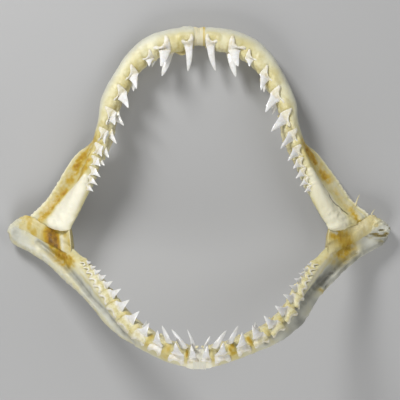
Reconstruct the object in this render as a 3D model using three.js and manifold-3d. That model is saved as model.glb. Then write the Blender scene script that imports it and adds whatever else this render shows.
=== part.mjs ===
// The dried and spread jaws of a shortfin mako shark about 2.4 m long, lying on their back.
// Each half of a jaw is one cartilage with its teeth. The upper halves lie flat, with the front of
// the mouth towards +Y, and the lower halves climb from the jaw joints towards +Z and -Y.
// Millimetres, +Z up. Left is -X and right is +X, as seen by someone facing the open mouth.
import * as THREE from "three";
import { mergeVertices } from "three/addons/utils/BufferGeometryUtils.js";
import Module from "manifold-3d";

const wasm = await Module();
wasm.setup();

// ---------------------------------------------------------------- driving dimensions
const GAP = 0.35; // clearance kept between neighbouring pieces
const HALF_SYMPHYSIS = 5; // half the width of the strip that joins two halves at the midline
const CENTRE_Y = 7.2; // the middle of the jaws' length, which becomes the origin
const FAR = 400; // longer than the jaws in any direction
const RINGS_PER_STATION = 2;
const CAP_RINGS = 2;
const CAP_DEPTH = 5; // how far a rounded end runs past its last station

// One row per station, from the symphysis to the jaw joint, in mm, with x as the distance from the
// midline: the tooth-bearing edge x, y, z, the far edge x, y, z, the height of the labial face near
// the teeth, at mid-width and near the far edge, and the depth of the lingual face at the same places.
const UPPER_STATIONS = [
  [0, 145, 13, 0, 164, 10, 7, 8, 6, 14, 12, 8],
  [24, 141, 15, 28, 161, 10, 7, 8, 6, 14, 12, 8],
  [42, 133, 17, 51, 153, 11, 7, 8, 6, 12, 11, 8],
  [57, 121, 20, 68, 138, 13, 7, 8, 6, 10, 10, 7],
  [68, 103, 23, 82, 116, 15, 7, 8, 6, 12, 10, 7],
  [77, 86, 27, 92, 94, 18, 7, 7, 5, 12, 9, 6],
  [83, 67, 31, 94, 73, 21, 7, 7, 5, 11, 9, 5],
  [89, 50, 33, 101, 56, 15, 8, 6, 3, 10, 8, 5],
  [94, 34, 33, 117, 41, 9, 9, 3, 2, 8, 6, 4],
  [100, 14, 33, 131, 20, 8, 8, 0, 2, 6, 5, 4],
  [109, -6, 33, 144, 0, 9, 7, 1, 2, 5, 5, 4],
  [120, -27, 33, 158, -14, 14, 5, 3, 3, 4, 4, 4],
];
const LOWER_STATIONS = [
  [0, -132, 124, 0, -149, 106, 5, 5, 4, 10, 8, 6],
  [19, -129, 123, 22, -145, 105, 6, 5, 4, 10, 8, 6],
  [37, -121, 117, 44, -137, 100, 6, 5, 4, 10, 8, 6],
  [54, -110, 108, 64, -127, 91, 7, 5, 4, 10, 8, 6],
  [69, -95, 95, 85, -111, 77, 7, 4, 4, 10, 7, 5],
  [83, -78, 78, 102, -93, 60, 7, 3, 4, 9, 7, 5],
  [97, -63, 60, 122, -77, 42, 6, 2, 4, 8, 7, 5],
  [110, -51, 43, 144, -59, 24, 6, 2, 4, 7, 7, 6],
  [126, -40, 27, 162, -49, 12, 4, 2, 4, 6, 8, 8],
  [145, -29, 17, 177, -41, 8, 4, 4, 5, 8, 10, 10],
  [163, -17, 14, 181, -30, 9, 6, 6, 6, 9, 12, 11],
];
// The dried tissue of the jaw joint, from the corner of the mouth outwards: its edge on the upper
// jaw, its edge on the lower jaw and its heights and depths, as above.
const JOINT_STATIONS = [
  [121, -24, 29, 118, -47, 37, 2, 2, 2, 3, 3, 3],
  [129, -24, 25, 127, -43, 30, 2, 2, 2, 4, 4, 4],
  [141, -22, 20, 139, -39, 22, 3, 3, 3, 5, 5, 5],
  [153, -17, 15, 154, -29, 16, 4, 5, 4, 5, 5, 5],
  [161, -15, 14, 165, -23, 14, 3, 4, 3, 5, 5, 5],
];

// How much further out each station of a half lies than on the other side.
const SPREAD = {
  upper_left: [0, 0, 0, 0, 0, 0, 0, 0, 0, 0, 0, 0],
  upper_right: [0, 0, 0, -1, -2, -2, -3, -3, -4, -2, -1, 0],
  lower_left: [0, 0, 0, 0, 0, 0, 0, 0, 0, 0, 0],
  lower_right: [0, 0, 3, 7, 8, 4, 1, 0, -2, -2, -1],
  joint_left: [0, 0, 0, 0, 0],
  joint_right: [0, 2, 1, 0, 0],
};

// The working teeth of a half jaw from the symphysis back, alike on both sides: crown height, width of
// the root and the bare tooth line in front of the root. The third upper tooth is the small
// intermediate one, and the side teeth grow smaller and closer towards the joint.
const WORKING_TEETH = {
  upper: [
    [25, 11, 5],
    [25, 15, 10],
    [10, 10, 4],
    [16, 13, 10],
    [19, 14, 8],
    [19, 14, 8],
    [17, 12, 5],
    [13, 11, 4],
    [8, 9, 1],
    [9, 8, 1],
    [8, 7, 1],
    [6, 6, 1],
  ],
  lower: [
    [16, 9, 1],
    [19, 14, 1],
    [18, 13, 5],
    [16, 14, 3],
    [16, 14, 3],
    [15, 14, 3],
    [14, 13, 2],
    [11, 11, 1],
    [9, 10, 0],
    [8, 8, 0],
    [6, 7, 0],
    [5, 6, 2],
  ],
};
// How teeth lean, in degrees: out over the labial face and back towards the joint. Each is a line
// through pairs of the distance from the symphysis and the lean there.
const LEANS = {
  upper_left: {
    out: [[10, -15], [35, 40], [70, 15], [95, 20], [115, 40], [135, 30], [160, 0], [170, -20]],
    back: [[10, 5], [35, 20]],
  },
  upper_right: {
    out: [[10, -15], [35, 40], [70, 15], [95, -10], [150, -20], [185, -10]],
    back: [[10, 15], [35, 20]],
  },
  lower_left: {
    out: [[5, 0], [20, 10], [70, -5], [155, 10]],
    back: [[5, 5], [35, 15], [55, -5]],
  },
  lower_right: {
    out: [[5, 0], [20, 10], [70, -5], [155, 10]],
    back: [[5, 5], [35, 15], [60, -5], [90, -10], [155, -15]],
  },
};
// The teeth of the row behind that stand up between the working ones: the numbers of the working teeth
// that they will replace and, as lines of the same kind, how far nearer the joint they stand, how much
// taller they are and how much more they lean back than those.
const RISING_TEETH = {
  upper_left: {
    behind: [2, 3, 4, 6, 7, 8, 9],
    shift: [[35, -4], [50, -4], [70, 4], [100, -2]],
    taller: [[35, 0], [70, -6], [120, -5], [150, 0]],
    back: [[35, 10], [70, 20], [115, 0]],
  },
  upper_right: {
    behind: [2, 4, 5],
    shift: [[35, -3], [70, 4]],
    taller: [[35, 0], [70, -6]],
    back: [[35, 5], [70, 20]],
  },
  lower_left: {
    behind: [1, 2, 3, 4],
    shift: [[5, 0], [35, -10], [55, 4]],
    taller: [[5, 13], [20, 8], [35, 5], [55, -6]],
    back: [[5, 5], [20, 20], [55, 10]],
  },
  lower_right: {
    behind: [1, 2, 3, 4],
    shift: [[5, 0], [35, -10], [55, 4]],
    taller: [[5, 4], [20, 8], [35, 6], [55, -5]],
    back: [[5, 5], [20, 20], [55, 10]],
  },
};
const RISING_NARROWER = 2; // how much narrower their roots are
const MIDLINE_ROOM = 3; // how far from the midline their roots stay

const CARTILAGE = new THREE.MeshStandardMaterial({ color: 0xd9d2ad, roughness: 0.55, metalness: 0 });
const LIGAMENT = new THREE.MeshStandardMaterial({ color: 0xc79b52, roughness: 0.65, metalness: 0 });

// ---------------------------------------------------------------- solids
function solidOf(positions, index) {
  const geometry = new THREE.BufferGeometry();
  geometry.setAttribute("position", new THREE.Float32BufferAttribute(positions, 3));
  geometry.setIndex(index);
  return solidOfGeometry(geometry);
}

function solidOfGeometry(source) {
  const bare = source.clone();
  bare.deleteAttribute("normal");
  bare.deleteAttribute("uv");
  const geometry = mergeVertices(bare, 1e-4);
  const build = (triangles) =>
    new wasm.Manifold(
      new wasm.Mesh({
        numProp: 3,
        vertProperties: geometry.attributes.position.array,
        triVerts: triangles,
      }),
    );
  const triangles = new Uint32Array(geometry.index.array);
  const made = build(triangles);
  return made.volume() > 0 ? made : build(triangles.reverse());
}

function geometryOf(solid) {
  const mesh = solid.getMesh();
  const geometry = new THREE.BufferGeometry();
  geometry.setAttribute("position", new THREE.BufferAttribute(mesh.vertProperties, 3));
  geometry.setIndex(new THREE.BufferAttribute(mesh.triVerts, 1));
  geometry.computeVertexNormals();
  return geometry;
}

// A box given by its lowest and highest corners.
function slab(low, high) {
  const size = high.clone().sub(low);
  const geometry = new THREE.BoxGeometry(size.x, size.y, size.z);
  const middle = low.clone().add(high).multiplyScalar(0.5);
  return solidOfGeometry(geometry.translate(middle.x, middle.y, middle.z));
}

// Joins rings of points, given from one end to the other, into one closed solid.
function skin(rings) {
  const around = rings[0].length;
  const positions = [];
  const index = [];
  for (const ring of rings) for (const p of ring) positions.push(p.x, p.y, p.z);
  for (let r = 0; r + 1 < rings.length; r++) {
    for (let k = 0; k < around; k++) {
      const a = r * around + k;
      const b = r * around + ((k + 1) % around);
      index.push(a, b, b + around, a, b + around, a + around);
    }
  }
  for (const [ring, flip] of [[0, true], [rings.length - 1, false]]) {
    const centre = new THREE.Vector3();
    for (const p of rings[ring]) centre.addScaledVector(p, 1 / around);
    const hub = positions.length / 3;
    positions.push(centre.x, centre.y, centre.z);
    for (let k = 0; k < around; k++) {
      const a = ring * around + k;
      const b = ring * around + ((k + 1) % around);
      index.push(...(flip ? [hub, b, a] : [hub, a, b]));
    }
  }
  return solidOf(positions, index);
}

// ---------------------------------------------------------------- cartilages
const LABIAL_PLACES = [0.2, 0.55, 0.85]; // where a section's three heights are given, across its width
const LINGUAL_PLACES = [0.36, 0.62, 0.88]; // and where its three depths are
const RING_POINTS = 12;

// A half jaw: curves through its stations, and frames along them.
class HalfJaw {
  constructor(stations, side, spread) {
    this.side = side;
    this.count = stations.length;
    const column = (at, moved) =>
      new THREE.CatmullRomCurve3(
        stations.map((s, i) =>
          moved
            ? new THREE.Vector3(side * (s[at] + (i ? spread[i] : 0)), s[at + 1] - CENTRE_Y, s[at + 2])
            : new THREE.Vector3(s[at], s[at + 1], s[at + 2]),
        ),
        false,
        "catmullrom",
        0.5,
      );
    this.toothEdge = column(0, true);
    this.farEdge = column(3, true);
    this.labial = column(6, false);
    this.lingual = column(9, false);
  }

  // The frame at t, from 0 at the symphysis to 1 at the joint: origin on the tooth edge, across
  // towards the far edge, along towards the joint and out of the labial face.
  frame(t) {
    const origin = this.toothEdge.getPoint(t);
    const far = this.farEdge.getPoint(t);
    const across = far.clone().sub(origin);
    const width = across.length();
    across.normalize();
    const step = 1e-3;
    const low = Math.max(0, t - step);
    const high = Math.min(1, t + step);
    const along = this.toothEdge
      .getPoint(high)
      .add(this.farEdge.getPoint(high))
      .sub(this.toothEdge.getPoint(low))
      .sub(this.farEdge.getPoint(low))
      .normalize();
    const out = along.clone().cross(across).normalize();
    if (out.z < 0) out.negate();
    return { origin, across, along, out, width };
  }

  // The closed outline of the section at t, grown outwards by grow.
  ring(t, grow, shrink = 1, push = 0) {
    const { origin, across, along, out, width } = this.frame(t);
    const labial = this.labial.getPoint(t);
    const lingual = this.lingual.getPoint(t);
    const corners = [
      [-grow, 0],
      [LABIAL_PLACES[0] * width, labial.x + grow],
      [LABIAL_PLACES[1] * width, labial.y + grow],
      [LABIAL_PLACES[2] * width, labial.z + grow],
      [width + grow, 0],
      [LINGUAL_PLACES[2] * width, -lingual.z - grow],
      [LINGUAL_PLACES[1] * width, -lingual.y - grow],
      [LINGUAL_PLACES[0] * width, -lingual.x - grow],
    ];
    const outline = new THREE.CatmullRomCurve3(
      corners.map(([a, b]) => new THREE.Vector3(a, b, 0)),
      true,
      "catmullrom",
      0.5,
    );
    const ring = [];
    for (let k = 0; k < RING_POINTS; k++) {
      const q = outline.getPoint(k / RING_POINTS);
      const a = width / 2 + (q.x - width / 2) * shrink;
      ring.push(
        origin
          .clone()
          .addScaledVector(across, a)
          .addScaledVector(out, q.y * shrink)
          .addScaledVector(along, push),
      );
    }
    return ring;
  }

  // The cartilage as one solid, square at the symphysis and rounded at the joint.
  solid(grow = 0) {
    const rings = [];
    const steps = (this.count - 1) * RINGS_PER_STATION;
    for (let i = 0; i <= steps; i++) rings.push(this.ring(i / steps, grow));
    for (let i = 1; i <= CAP_RINGS; i++) {
      const angle = (i / (CAP_RINGS + 0.5)) * (Math.PI / 2);
      rings.push(this.ring(1, grow, Math.cos(angle), (CAP_DEPTH + grow) * Math.sin(angle)));
    }
    return skin(rings);
  }

  // The t at a distance along the tooth edge from the symphysis.
  tAt(distance) {
    const samples = 400;
    let travelled = 0;
    let last = this.toothEdge.getPoint(0);
    for (let i = 1; i <= samples; i++) {
      const next = this.toothEdge.getPoint(i / samples);
      travelled += next.distanceTo(last);
      if (travelled >= distance) return i / samples;
      last = next;
    }
    return 1;
  }
}

// ---------------------------------------------------------------- teeth
const SMALL_TOOTH = 12; // teeth lower than this get a plainer section
const CROWN_LEVELS = [ // share of the height, share of half the root's width, share of the thickness
  [-0.3, 0.8, 0.9],
  [-0.05, 1.0, 1.0],
  [0.15, 0.6, 0.8],
  [0.6, 0.3, 0.5],
  [1.0, 0.03, 0.05],
];
const LENS = [[1, 0], [0.45, 0.8], [-0.45, 0.8], [-1, 0], [-0.45, -1], [0.45, -1]];
const DIAMOND = [[1, 0], [0, 0.8], [-1, 0], [0, -1]];

// A blade-like tooth: rings of a lens section from the root to the tip, bent out over the labial face
// and swept towards the joint along its height, and grown outwards by grow.
function tooth({ base, up, along, out, height, rootWidth, bend, sweep }, grow = 0) {
  const section = height < SMALL_TOOTH ? DIAMOND : LENS;
  const thickness = 0.14 * height + 0.09 * rootWidth;
  const rings = CROWN_LEVELS.map(([rise, half, thick]) => {
    const curve = Math.sin(Math.PI * Math.max(0, rise)) * height;
    return section.map(([a, b]) =>
      base
        .clone()
        .addScaledVector(up, rise * (height + 3 * grow))
        .addScaledVector(along, a * ((half * rootWidth) / 2 + grow) - sweep * curve)
        .addScaledVector(out, b * (thick * thickness + grow) + bend * curve),
    );
  });
  return skin(rings);
}

// Where the teeth of each row stand, at the front and at the back of the jaw: how far in from the
// tooth edge the root is and how high above it, then the bend and the sweep of the crowns.
const ROWS = {
  upper: [
    { inset: [2, 0], height: [5, 3], bend: 0.06, sweep: 0.04 },
    { inset: [2, 0], height: [-3, -2], bend: 0.06, sweep: 0.04 },
  ],
  lower: [
    { inset: [5, 0], height: [4, 2], bend: 0.1, sweep: 0.04 },
    { inset: [3, 1], height: [-2, -1], bend: 0.1, sweep: 0.1 },
  ],
};

// The height at place of a line through pairs of place and height, level beyond its ends.
function lineAt(pairs, place) {
  if (place <= pairs[0][0]) return pairs[0][1];
  for (let i = 1; i < pairs.length; i++) {
    const [x0, y0] = pairs[i - 1];
    const [x1, y1] = pairs[i];
    if (place < x1) return THREE.MathUtils.mapLinear(place, x0, x1, y0, y1);
  }
  return pairs.at(-1)[1];
}

// The teeth of a half jaw in two rows, the working one and the one behind: each tooth's distance along
// the tooth line, its height and root width, and its leans out and back.
function toothRows(part, half) {
  const leans = LEANS[half];
  const rising = RISING_TEETH[half];
  let reached = 0;
  const working = WORKING_TEETH[part].map(([height, rootWidth, bare]) => {
    const distance = reached + bare + rootWidth / 2;
    reached += bare + rootWidth;
    return [distance, height, rootWidth, lineAt(leans.out, distance), lineAt(leans.back, distance)];
  });
  const behind = rising.behind.map((number) => {
    const [distance, height, rootWidth, , backwards] = working[number - 1];
    const narrower = rootWidth - RISING_NARROWER;
    const place = Math.max(narrower / 2 + MIDLINE_ROOM, distance + lineAt(rising.shift, distance));
    const crown = height + lineAt(rising.taller, distance);
    return [place, crown, narrower, 0, backwards + lineAt(rising.back, distance)];
  });
  return [working, behind];
}

function teethOf(jaw, tables, rows, grow = 0) {
  const made = [];
  rows.forEach((row, number) => {
    for (const [distance, height, rootWidth, outwards, backwards] of tables[number]) {
      const t = jaw.tAt(distance);
      const { origin, across, along, out } = jaw.frame(t);
      const share = Math.min(1, 2 * t);
      const lean = THREE.MathUtils.degToRad(outwards);
      const back = THREE.MathUtils.degToRad(backwards);
      const up = across
        .clone()
        .multiplyScalar(-Math.cos(lean))
        .addScaledVector(out, Math.sin(lean));
      up.multiplyScalar(Math.cos(back)).addScaledVector(along, Math.sin(back)).normalize();
      const face = out.clone().addScaledVector(up, -out.dot(up)).normalize();
      const sideways = along.clone().addScaledVector(up, -along.dot(up));
      sideways.addScaledVector(face, -sideways.dot(face)).normalize();
      const base = origin
        .clone()
        .addScaledVector(across, THREE.MathUtils.lerp(...row.inset, share))
        .addScaledVector(out, THREE.MathUtils.lerp(...row.height, share));
      const { bend, sweep } = row;
      const shape = { base, up, along: sideways, out: face, height, rootWidth, bend, sweep };
      made.push(tooth(shape, grow));
    }
  });
  return made;
}

// ---------------------------------------------------------------- the jaws
const underground = slab(new THREE.Vector3(-FAR, -FAR, -FAR), new THREE.Vector3(FAR, FAR, 0));
const midStrip = slab(
  new THREE.Vector3(-HALF_SYMPHYSIS - GAP, -FAR, -FAR),
  new THREE.Vector3(HALF_SYMPHYSIS + GAP, FAR, FAR),
);

const jaws = new THREE.Group();
function addPiece(name, solid, material) {
  const mesh = new THREE.Mesh(geometryOf(solid.subtract(underground)), material);
  mesh.name = name;
  jaws.add(mesh);
}

const SYMPHYSIS_SHARE = 0.94; // the strip's section as a share of the halves' own
function symphysis(jaw) {
  const section = jaw.ring(0, 0);
  const centre = new THREE.Vector3();
  for (const p of section) centre.addScaledVector(p, 1 / section.length);
  return skin(
    [-HALF_SYMPHYSIS, 0, HALF_SYMPHYSIS].map((x) =>
      section.map((p) => p.clone().lerp(centre, 1 - SYMPHYSIS_SHARE).setX(x)),
    ),
  );
}

const strips = {};
for (const [sideName, side] of [["left", -1], ["right", 1]]) {
  const half = (part, stations) => new HalfJaw(stations, side, SPREAD[part + "_" + sideName]);
  const upper = half("upper", UPPER_STATIONS);
  const lower = half("lower", LOWER_STATIONS);
  const joint = half("joint", JOINT_STATIONS);
  const solids = {
    upper: upper.solid().subtract(lower.solid(GAP)).subtract(midStrip),
    lower: lower.solid().subtract(midStrip),
  };
  for (const [part, jaw] of [["upper", upper], ["lower", lower]]) {
    const teeth = toothRows(part, part + "_" + sideName);
    for (const one of teethOf(jaw, teeth, ROWS[part])) solids[part] = solids[part].add(one);
    strips[part] ??= symphysis(jaw);
    for (const row of [0, 1]) {
      const first = teethOf(jaw, [teeth[row].slice(0, 1)], [ROWS[part][row]], GAP);
      strips[part] = strips[part].subtract(first[0]);
    }
    addPiece(part + "_jaw_" + sideName, solids[part], CARTILAGE);
  }
  const tissue = joint.solid().subtract(upper.solid(GAP)).subtract(lower.solid(GAP));
  addPiece("jaw_joint_" + sideName, tissue, LIGAMENT);
}
addPiece("upper_symphysis", strips.upper, LIGAMENT);
addPiece("lower_symphysis", strips.lower, LIGAMENT);

export default jaws;
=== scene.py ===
import math

import bpy
import numpy as np
from mathutils.kdtree import KDTree
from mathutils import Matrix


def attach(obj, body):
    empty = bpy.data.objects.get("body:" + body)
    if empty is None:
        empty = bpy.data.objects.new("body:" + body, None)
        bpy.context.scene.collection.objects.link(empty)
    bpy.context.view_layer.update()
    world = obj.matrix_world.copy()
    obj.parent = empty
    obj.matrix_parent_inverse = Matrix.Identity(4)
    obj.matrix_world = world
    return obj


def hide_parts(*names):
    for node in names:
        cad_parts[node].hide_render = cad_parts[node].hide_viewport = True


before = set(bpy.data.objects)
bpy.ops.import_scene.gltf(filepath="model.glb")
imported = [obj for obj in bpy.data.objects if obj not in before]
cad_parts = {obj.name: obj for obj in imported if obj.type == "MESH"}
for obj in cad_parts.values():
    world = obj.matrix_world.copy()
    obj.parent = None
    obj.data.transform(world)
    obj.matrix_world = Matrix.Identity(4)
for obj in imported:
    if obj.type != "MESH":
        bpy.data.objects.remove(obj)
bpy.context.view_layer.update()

scene = bpy.context.scene

# The dried, spread jaws of a shortfin mako, lying on their back. Sizes are in millimetres, in the
# row's frame unless a comment says otherwise, and repeat the CAD model's stations and teeth.
MM = 0.001
CENTRE_Y = 7.2  # the row's origin, in the stations' y
HALF_SYMPHYSIS = 5.0
SYMPHYSIS_CLEARANCE = 0.2
CAP_DEPTH = 5.0
LABIAL_PLACES = (0.2, 0.55, 0.85)
LINGUAL_PLACES = (0.36, 0.62, 0.88)
RINGS_PER_STATION = 34
CAP_RINGS = 14
AROUND = 120

# One row per station, from the symphysis to the jaw joint: the tooth edge x, y, z, the far edge
# x, y, z, three labial heights and three lingual depths. Here x is the distance from the midline,
# and y is given before CENTRE_Y is taken off.
UPPER_STATIONS = [
    [0, 145, 13, 0, 164, 10, 7, 8, 6, 14, 12, 8],
    [24, 141, 15, 28, 161, 10, 7, 8, 6, 14, 12, 8],
    [42, 133, 17, 51, 153, 11, 7, 8, 6, 12, 11, 8],
    [57, 121, 20, 68, 138, 13, 7, 8, 6, 10, 10, 7],
    [68, 103, 23, 82, 116, 15, 7, 8, 6, 12, 10, 7],
    [77, 86, 27, 92, 94, 18, 7, 7, 5, 12, 9, 6],
    [83, 67, 31, 94, 73, 21, 7, 7, 5, 11, 9, 5],
    [89, 50, 33, 101, 56, 15, 8, 6, 3, 10, 8, 5],
    [94, 34, 33, 117, 41, 9, 9, 3, 2, 8, 6, 4],
    [100, 14, 33, 131, 20, 8, 8, 0, 2, 6, 5, 4],
    [109, -6, 33, 144, 0, 9, 7, 1, 2, 5, 5, 4],
    [120, -27, 33, 158, -14, 14, 5, 3, 3, 4, 4, 4],
]
LOWER_STATIONS = [
    [0, -132, 124, 0, -149, 106, 5, 5, 4, 10, 8, 6],
    [19, -129, 123, 22, -145, 105, 6, 5, 4, 10, 8, 6],
    [37, -121, 117, 44, -137, 100, 6, 5, 4, 10, 8, 6],
    [54, -110, 108, 64, -127, 91, 7, 5, 4, 10, 8, 6],
    [69, -95, 95, 85, -111, 77, 7, 4, 4, 10, 7, 5],
    [83, -78, 78, 102, -93, 60, 7, 3, 4, 9, 7, 5],
    [97, -63, 60, 122, -77, 42, 6, 2, 4, 8, 7, 5],
    [110, -51, 43, 144, -59, 24, 6, 2, 4, 7, 7, 6],
    [126, -40, 27, 162, -49, 12, 4, 2, 4, 6, 8, 8],
    [145, -29, 17, 177, -41, 8, 4, 4, 5, 8, 10, 10],
    [163, -17, 14, 181, -30, 9, 6, 6, 6, 9, 12, 11],
]
JOINT_STATIONS = [
    [121, -24, 29, 118, -47, 37, 2, 2, 2, 3, 3, 3],
    [129, -24, 25, 127, -43, 30, 2, 2, 2, 4, 4, 4],
    [141, -22, 20, 139, -39, 22, 3, 3, 3, 5, 5, 5],
    [153, -17, 15, 154, -29, 16, 4, 5, 4, 5, 5, 5],
    [161, -15, 14, 165, -23, 14, 3, 4, 3, 5, 5, 5],
]
# How much further out each station of the right side lies.
SPREAD = {
    "upper_right": [0, 0, 0, -1, -2, -2, -3, -3, -4, -2, -1, 0],
    "lower_right": [0, 0, 3, 7, 8, 4, 1, 0, -2, -2, -1],
    "joint_right": [0, 2, 1, 0, 0],
}

# The working teeth from the symphysis back: crown height, root width, bare tooth line before the root.
WORKING_TEETH = {
    "upper": [[25, 11, 5], [25, 15, 10], [10, 10, 4], [16, 13, 10], [19, 14, 8], [19, 14, 8],
              [17, 12, 5], [13, 11, 4], [8, 9, 1], [9, 8, 1], [8, 7, 1], [6, 6, 1]],
    "lower": [[16, 9, 1], [19, 14, 1], [18, 13, 5], [16, 14, 3], [16, 14, 3], [15, 14, 3],
              [14, 13, 2], [11, 11, 1], [9, 10, 0], [8, 8, 0], [6, 7, 0], [5, 6, 2]],
}
# How teeth lean, in degrees, as lines through pairs of the distance from the symphysis and the lean.
LOWER_OUT = [[5, 0], [20, 10], [70, -5], [155, 10]]
LEANS = {
    "upper_left": dict(
        out=[[10, -15], [35, 40], [70, 15], [95, 20], [115, 40], [135, 30], [160, 0], [170, -20]],
        back=[[10, 5], [35, 20]]),
    "upper_right": dict(
        out=[[10, -15], [35, 40], [70, 15], [95, -10], [150, -20], [185, -10]],
        back=[[10, 15], [35, 20]]),
    "lower_left": dict(out=LOWER_OUT, back=[[5, 5], [35, 15], [55, -5]]),
    "lower_right": dict(out=LOWER_OUT, back=[[5, 5], [35, 15], [60, -5], [90, -10], [155, -15]]),
}
# The teeth of the row behind that stand up: the working teeth they will replace and, as lines of the
# same kind, how far nearer the joint they stand, how much taller they are and how much more they lean.
LOWER_RISING = dict(behind=[1, 2, 3, 4], shift=[[5, 0], [35, -10], [55, 4]],
                    back=[[5, 5], [20, 20], [55, 10]])
RISING_TEETH = {
    "upper_left": dict(
        behind=[2, 3, 4, 6, 7, 8, 9],
        shift=[[35, -4], [50, -4], [70, 4], [100, -2]],
        taller=[[35, 0], [70, -6], [120, -5], [150, 0]],
        back=[[35, 10], [70, 20], [115, 0]]),
    "upper_right": dict(
        behind=[2, 4, 5],
        shift=[[35, -3], [70, 4]],
        taller=[[35, 0], [70, -6]],
        back=[[35, 5], [70, 20]]),
    "lower_left": dict(LOWER_RISING, taller=[[5, 13], [20, 8], [35, 5], [55, -6]]),
    "lower_right": dict(LOWER_RISING, taller=[[5, 4], [20, 8], [35, 6], [55, -5]]),
}
RISING_NARROWER = 2
MIDLINE_ROOM = 3
# Where the teeth of each row stand, at the front and at the back of the jaw, and their root lobes as
# shares of the root's width. A side tooth has shorter lobes, with a collar of gum above them.
ROWS = {
    "upper": [dict(inset=(2, 0), height=(5, 3), bend=0.06, sweep=0.04, lobes=(0.85, 0.4),
                   shorter=0.4, collar=0.3),
              dict(inset=(2, 0), height=(-3, -2), bend=0.06, sweep=0.04, lobes=(0.4, 0.3))],
    "lower": [dict(inset=(5, 0), height=(4, 2), bend=0.1, sweep=0.04, lobes=(0.95, 0.9),
                   first_lobes=(0.4, 0.9), shorter=0.2, collar=1.0),
              dict(inset=(3, 1), height=(-2, -1), bend=0.1, sweep=0.1, lobes=(0.4, 0.4))],
}


def line_at(pairs, place):
    return np.interp(place, *np.transpose(pairs))


def tooth_rows(part, half):
    """Each tooth's distance, height, root width and leans, for the working row and the one behind."""
    leans = LEANS[half]
    rising = RISING_TEETH[half]
    working = []
    reached = 0.0
    for height, root_width, bare in WORKING_TEETH[part]:
        place = reached + bare + root_width / 2
        reached += bare + root_width
        working.append([place, height, root_width, line_at(leans["out"], place),
                        line_at(leans["back"], place)])
    behind = []
    for number in rising["behind"]:
        place, height, root_width, _, back = working[number - 1]
        narrower = root_width - RISING_NARROWER
        moved = max(narrower / 2 + MIDLINE_ROOM, place + line_at(rising["shift"], place))
        behind.append([moved, height + line_at(rising["taller"], place), narrower, 0.0,
                       back + line_at(rising["back"], place)])
    return working, behind


# ---small maths
LATTICE_SIZE = 32
LATTICE = np.random.RandomState(11).uniform(-1.0, 1.0, (LATTICE_SIZE,) * 3)


def noise(points, size, shift=0.0):
    """Smooth value noise from -1 to 1, with features about size millimetres across."""
    q = points / size + shift + 100.0
    cell = np.floor(q).astype(int)
    f = q - cell
    f = f * f * (3 - 2 * f)
    total = 0.0
    for corner in np.ndindex(2, 2, 2):
        weight = 1.0
        for i, d in enumerate(corner):
            weight = weight * (f[..., i] if d else 1 - f[..., i])
        x, y, z = ((cell[..., i] + d) % LATTICE_SIZE for i, d in enumerate(corner))
        total = total + weight * LATTICE[x, y, z]
    return total


def smooth(value, low, high):
    x = np.clip((value - low) / (high - low), 0.0, 1.0)
    return x * x * (3 - 2 * x)


def near_line(points, line, radius):
    """1 on a line given in plan, falling to 0 about radius away; each corner may have its own radius."""
    xy = points[..., :2]
    line = np.asarray(line, float)
    radii = np.broadcast_to(np.asarray(radius, float), len(line))
    best = np.full(xy.shape[:-1], 1e9)
    for a, b, start, end in zip(line[:-1], line[1:], radii[:-1], radii[1:]):
        ab = b - a
        s = np.clip(((xy - a) @ ab) / max(ab @ ab, 1e-9), 0, 1)
        away = np.linalg.norm(xy - (a + s[..., None] * ab), axis=-1)
        best = np.minimum(best, away / (start + s * (end - start)))
    return np.exp(-(best**2))


def curve_at(points, t):
    """The uniform Catmull-Rom curve through points, at t from 0 to 1."""
    p = np.vstack([2 * points[0] - points[1], points, 2 * points[-1] - points[-2]])
    x = np.clip(t, 0, 1) * (len(points) - 1)
    i = np.minimum(x.astype(int), len(points) - 2)
    w = (x - i)[:, None]
    a, b, c, d = p[i], p[i + 1], p[i + 2], p[i + 3]
    t0 = (c - a) / 2
    t1 = (d - b) / 2
    return b + t0 * w + (-3 * b + 3 * c - 2 * t0 - t1) * w**2 + (2 * b - 2 * c + t0 + t1) * w**3


def loop_weights(count, corners=8):
    """How much of each corner goes into each of count points on a closed Catmull-Rom loop."""
    wrapped = np.eye(corners)[np.arange(-1, corners + 2) % corners]
    return curve_at(wrapped, (1 + np.arange(count) * corners / count) / (corners + 2))


def unit(v):
    return v / np.maximum(np.linalg.norm(v, axis=-1, keepdims=True), 1e-9)


LOOP = loop_weights(AROUND)


# ---shapes and pieces
class Shape:
    """A closed surface of quads and triangles, with four marks on each vertex."""

    def __init__(self, vertices, quads, triangles, marks):
        volume = 0.0
        for faces in (quads[:, :3], quads[:, [0, 2, 3]], triangles):
            a, b, c = vertices[faces].transpose(1, 0, 2)
            volume += np.einsum("ij,ij->", a, np.cross(b, c))
        order = -1 if volume < 0 else 1
        self.vertices = vertices
        self.quads = quads[:, ::order]
        self.triangles = triangles[:, ::order]
        self.marks = marks


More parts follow.
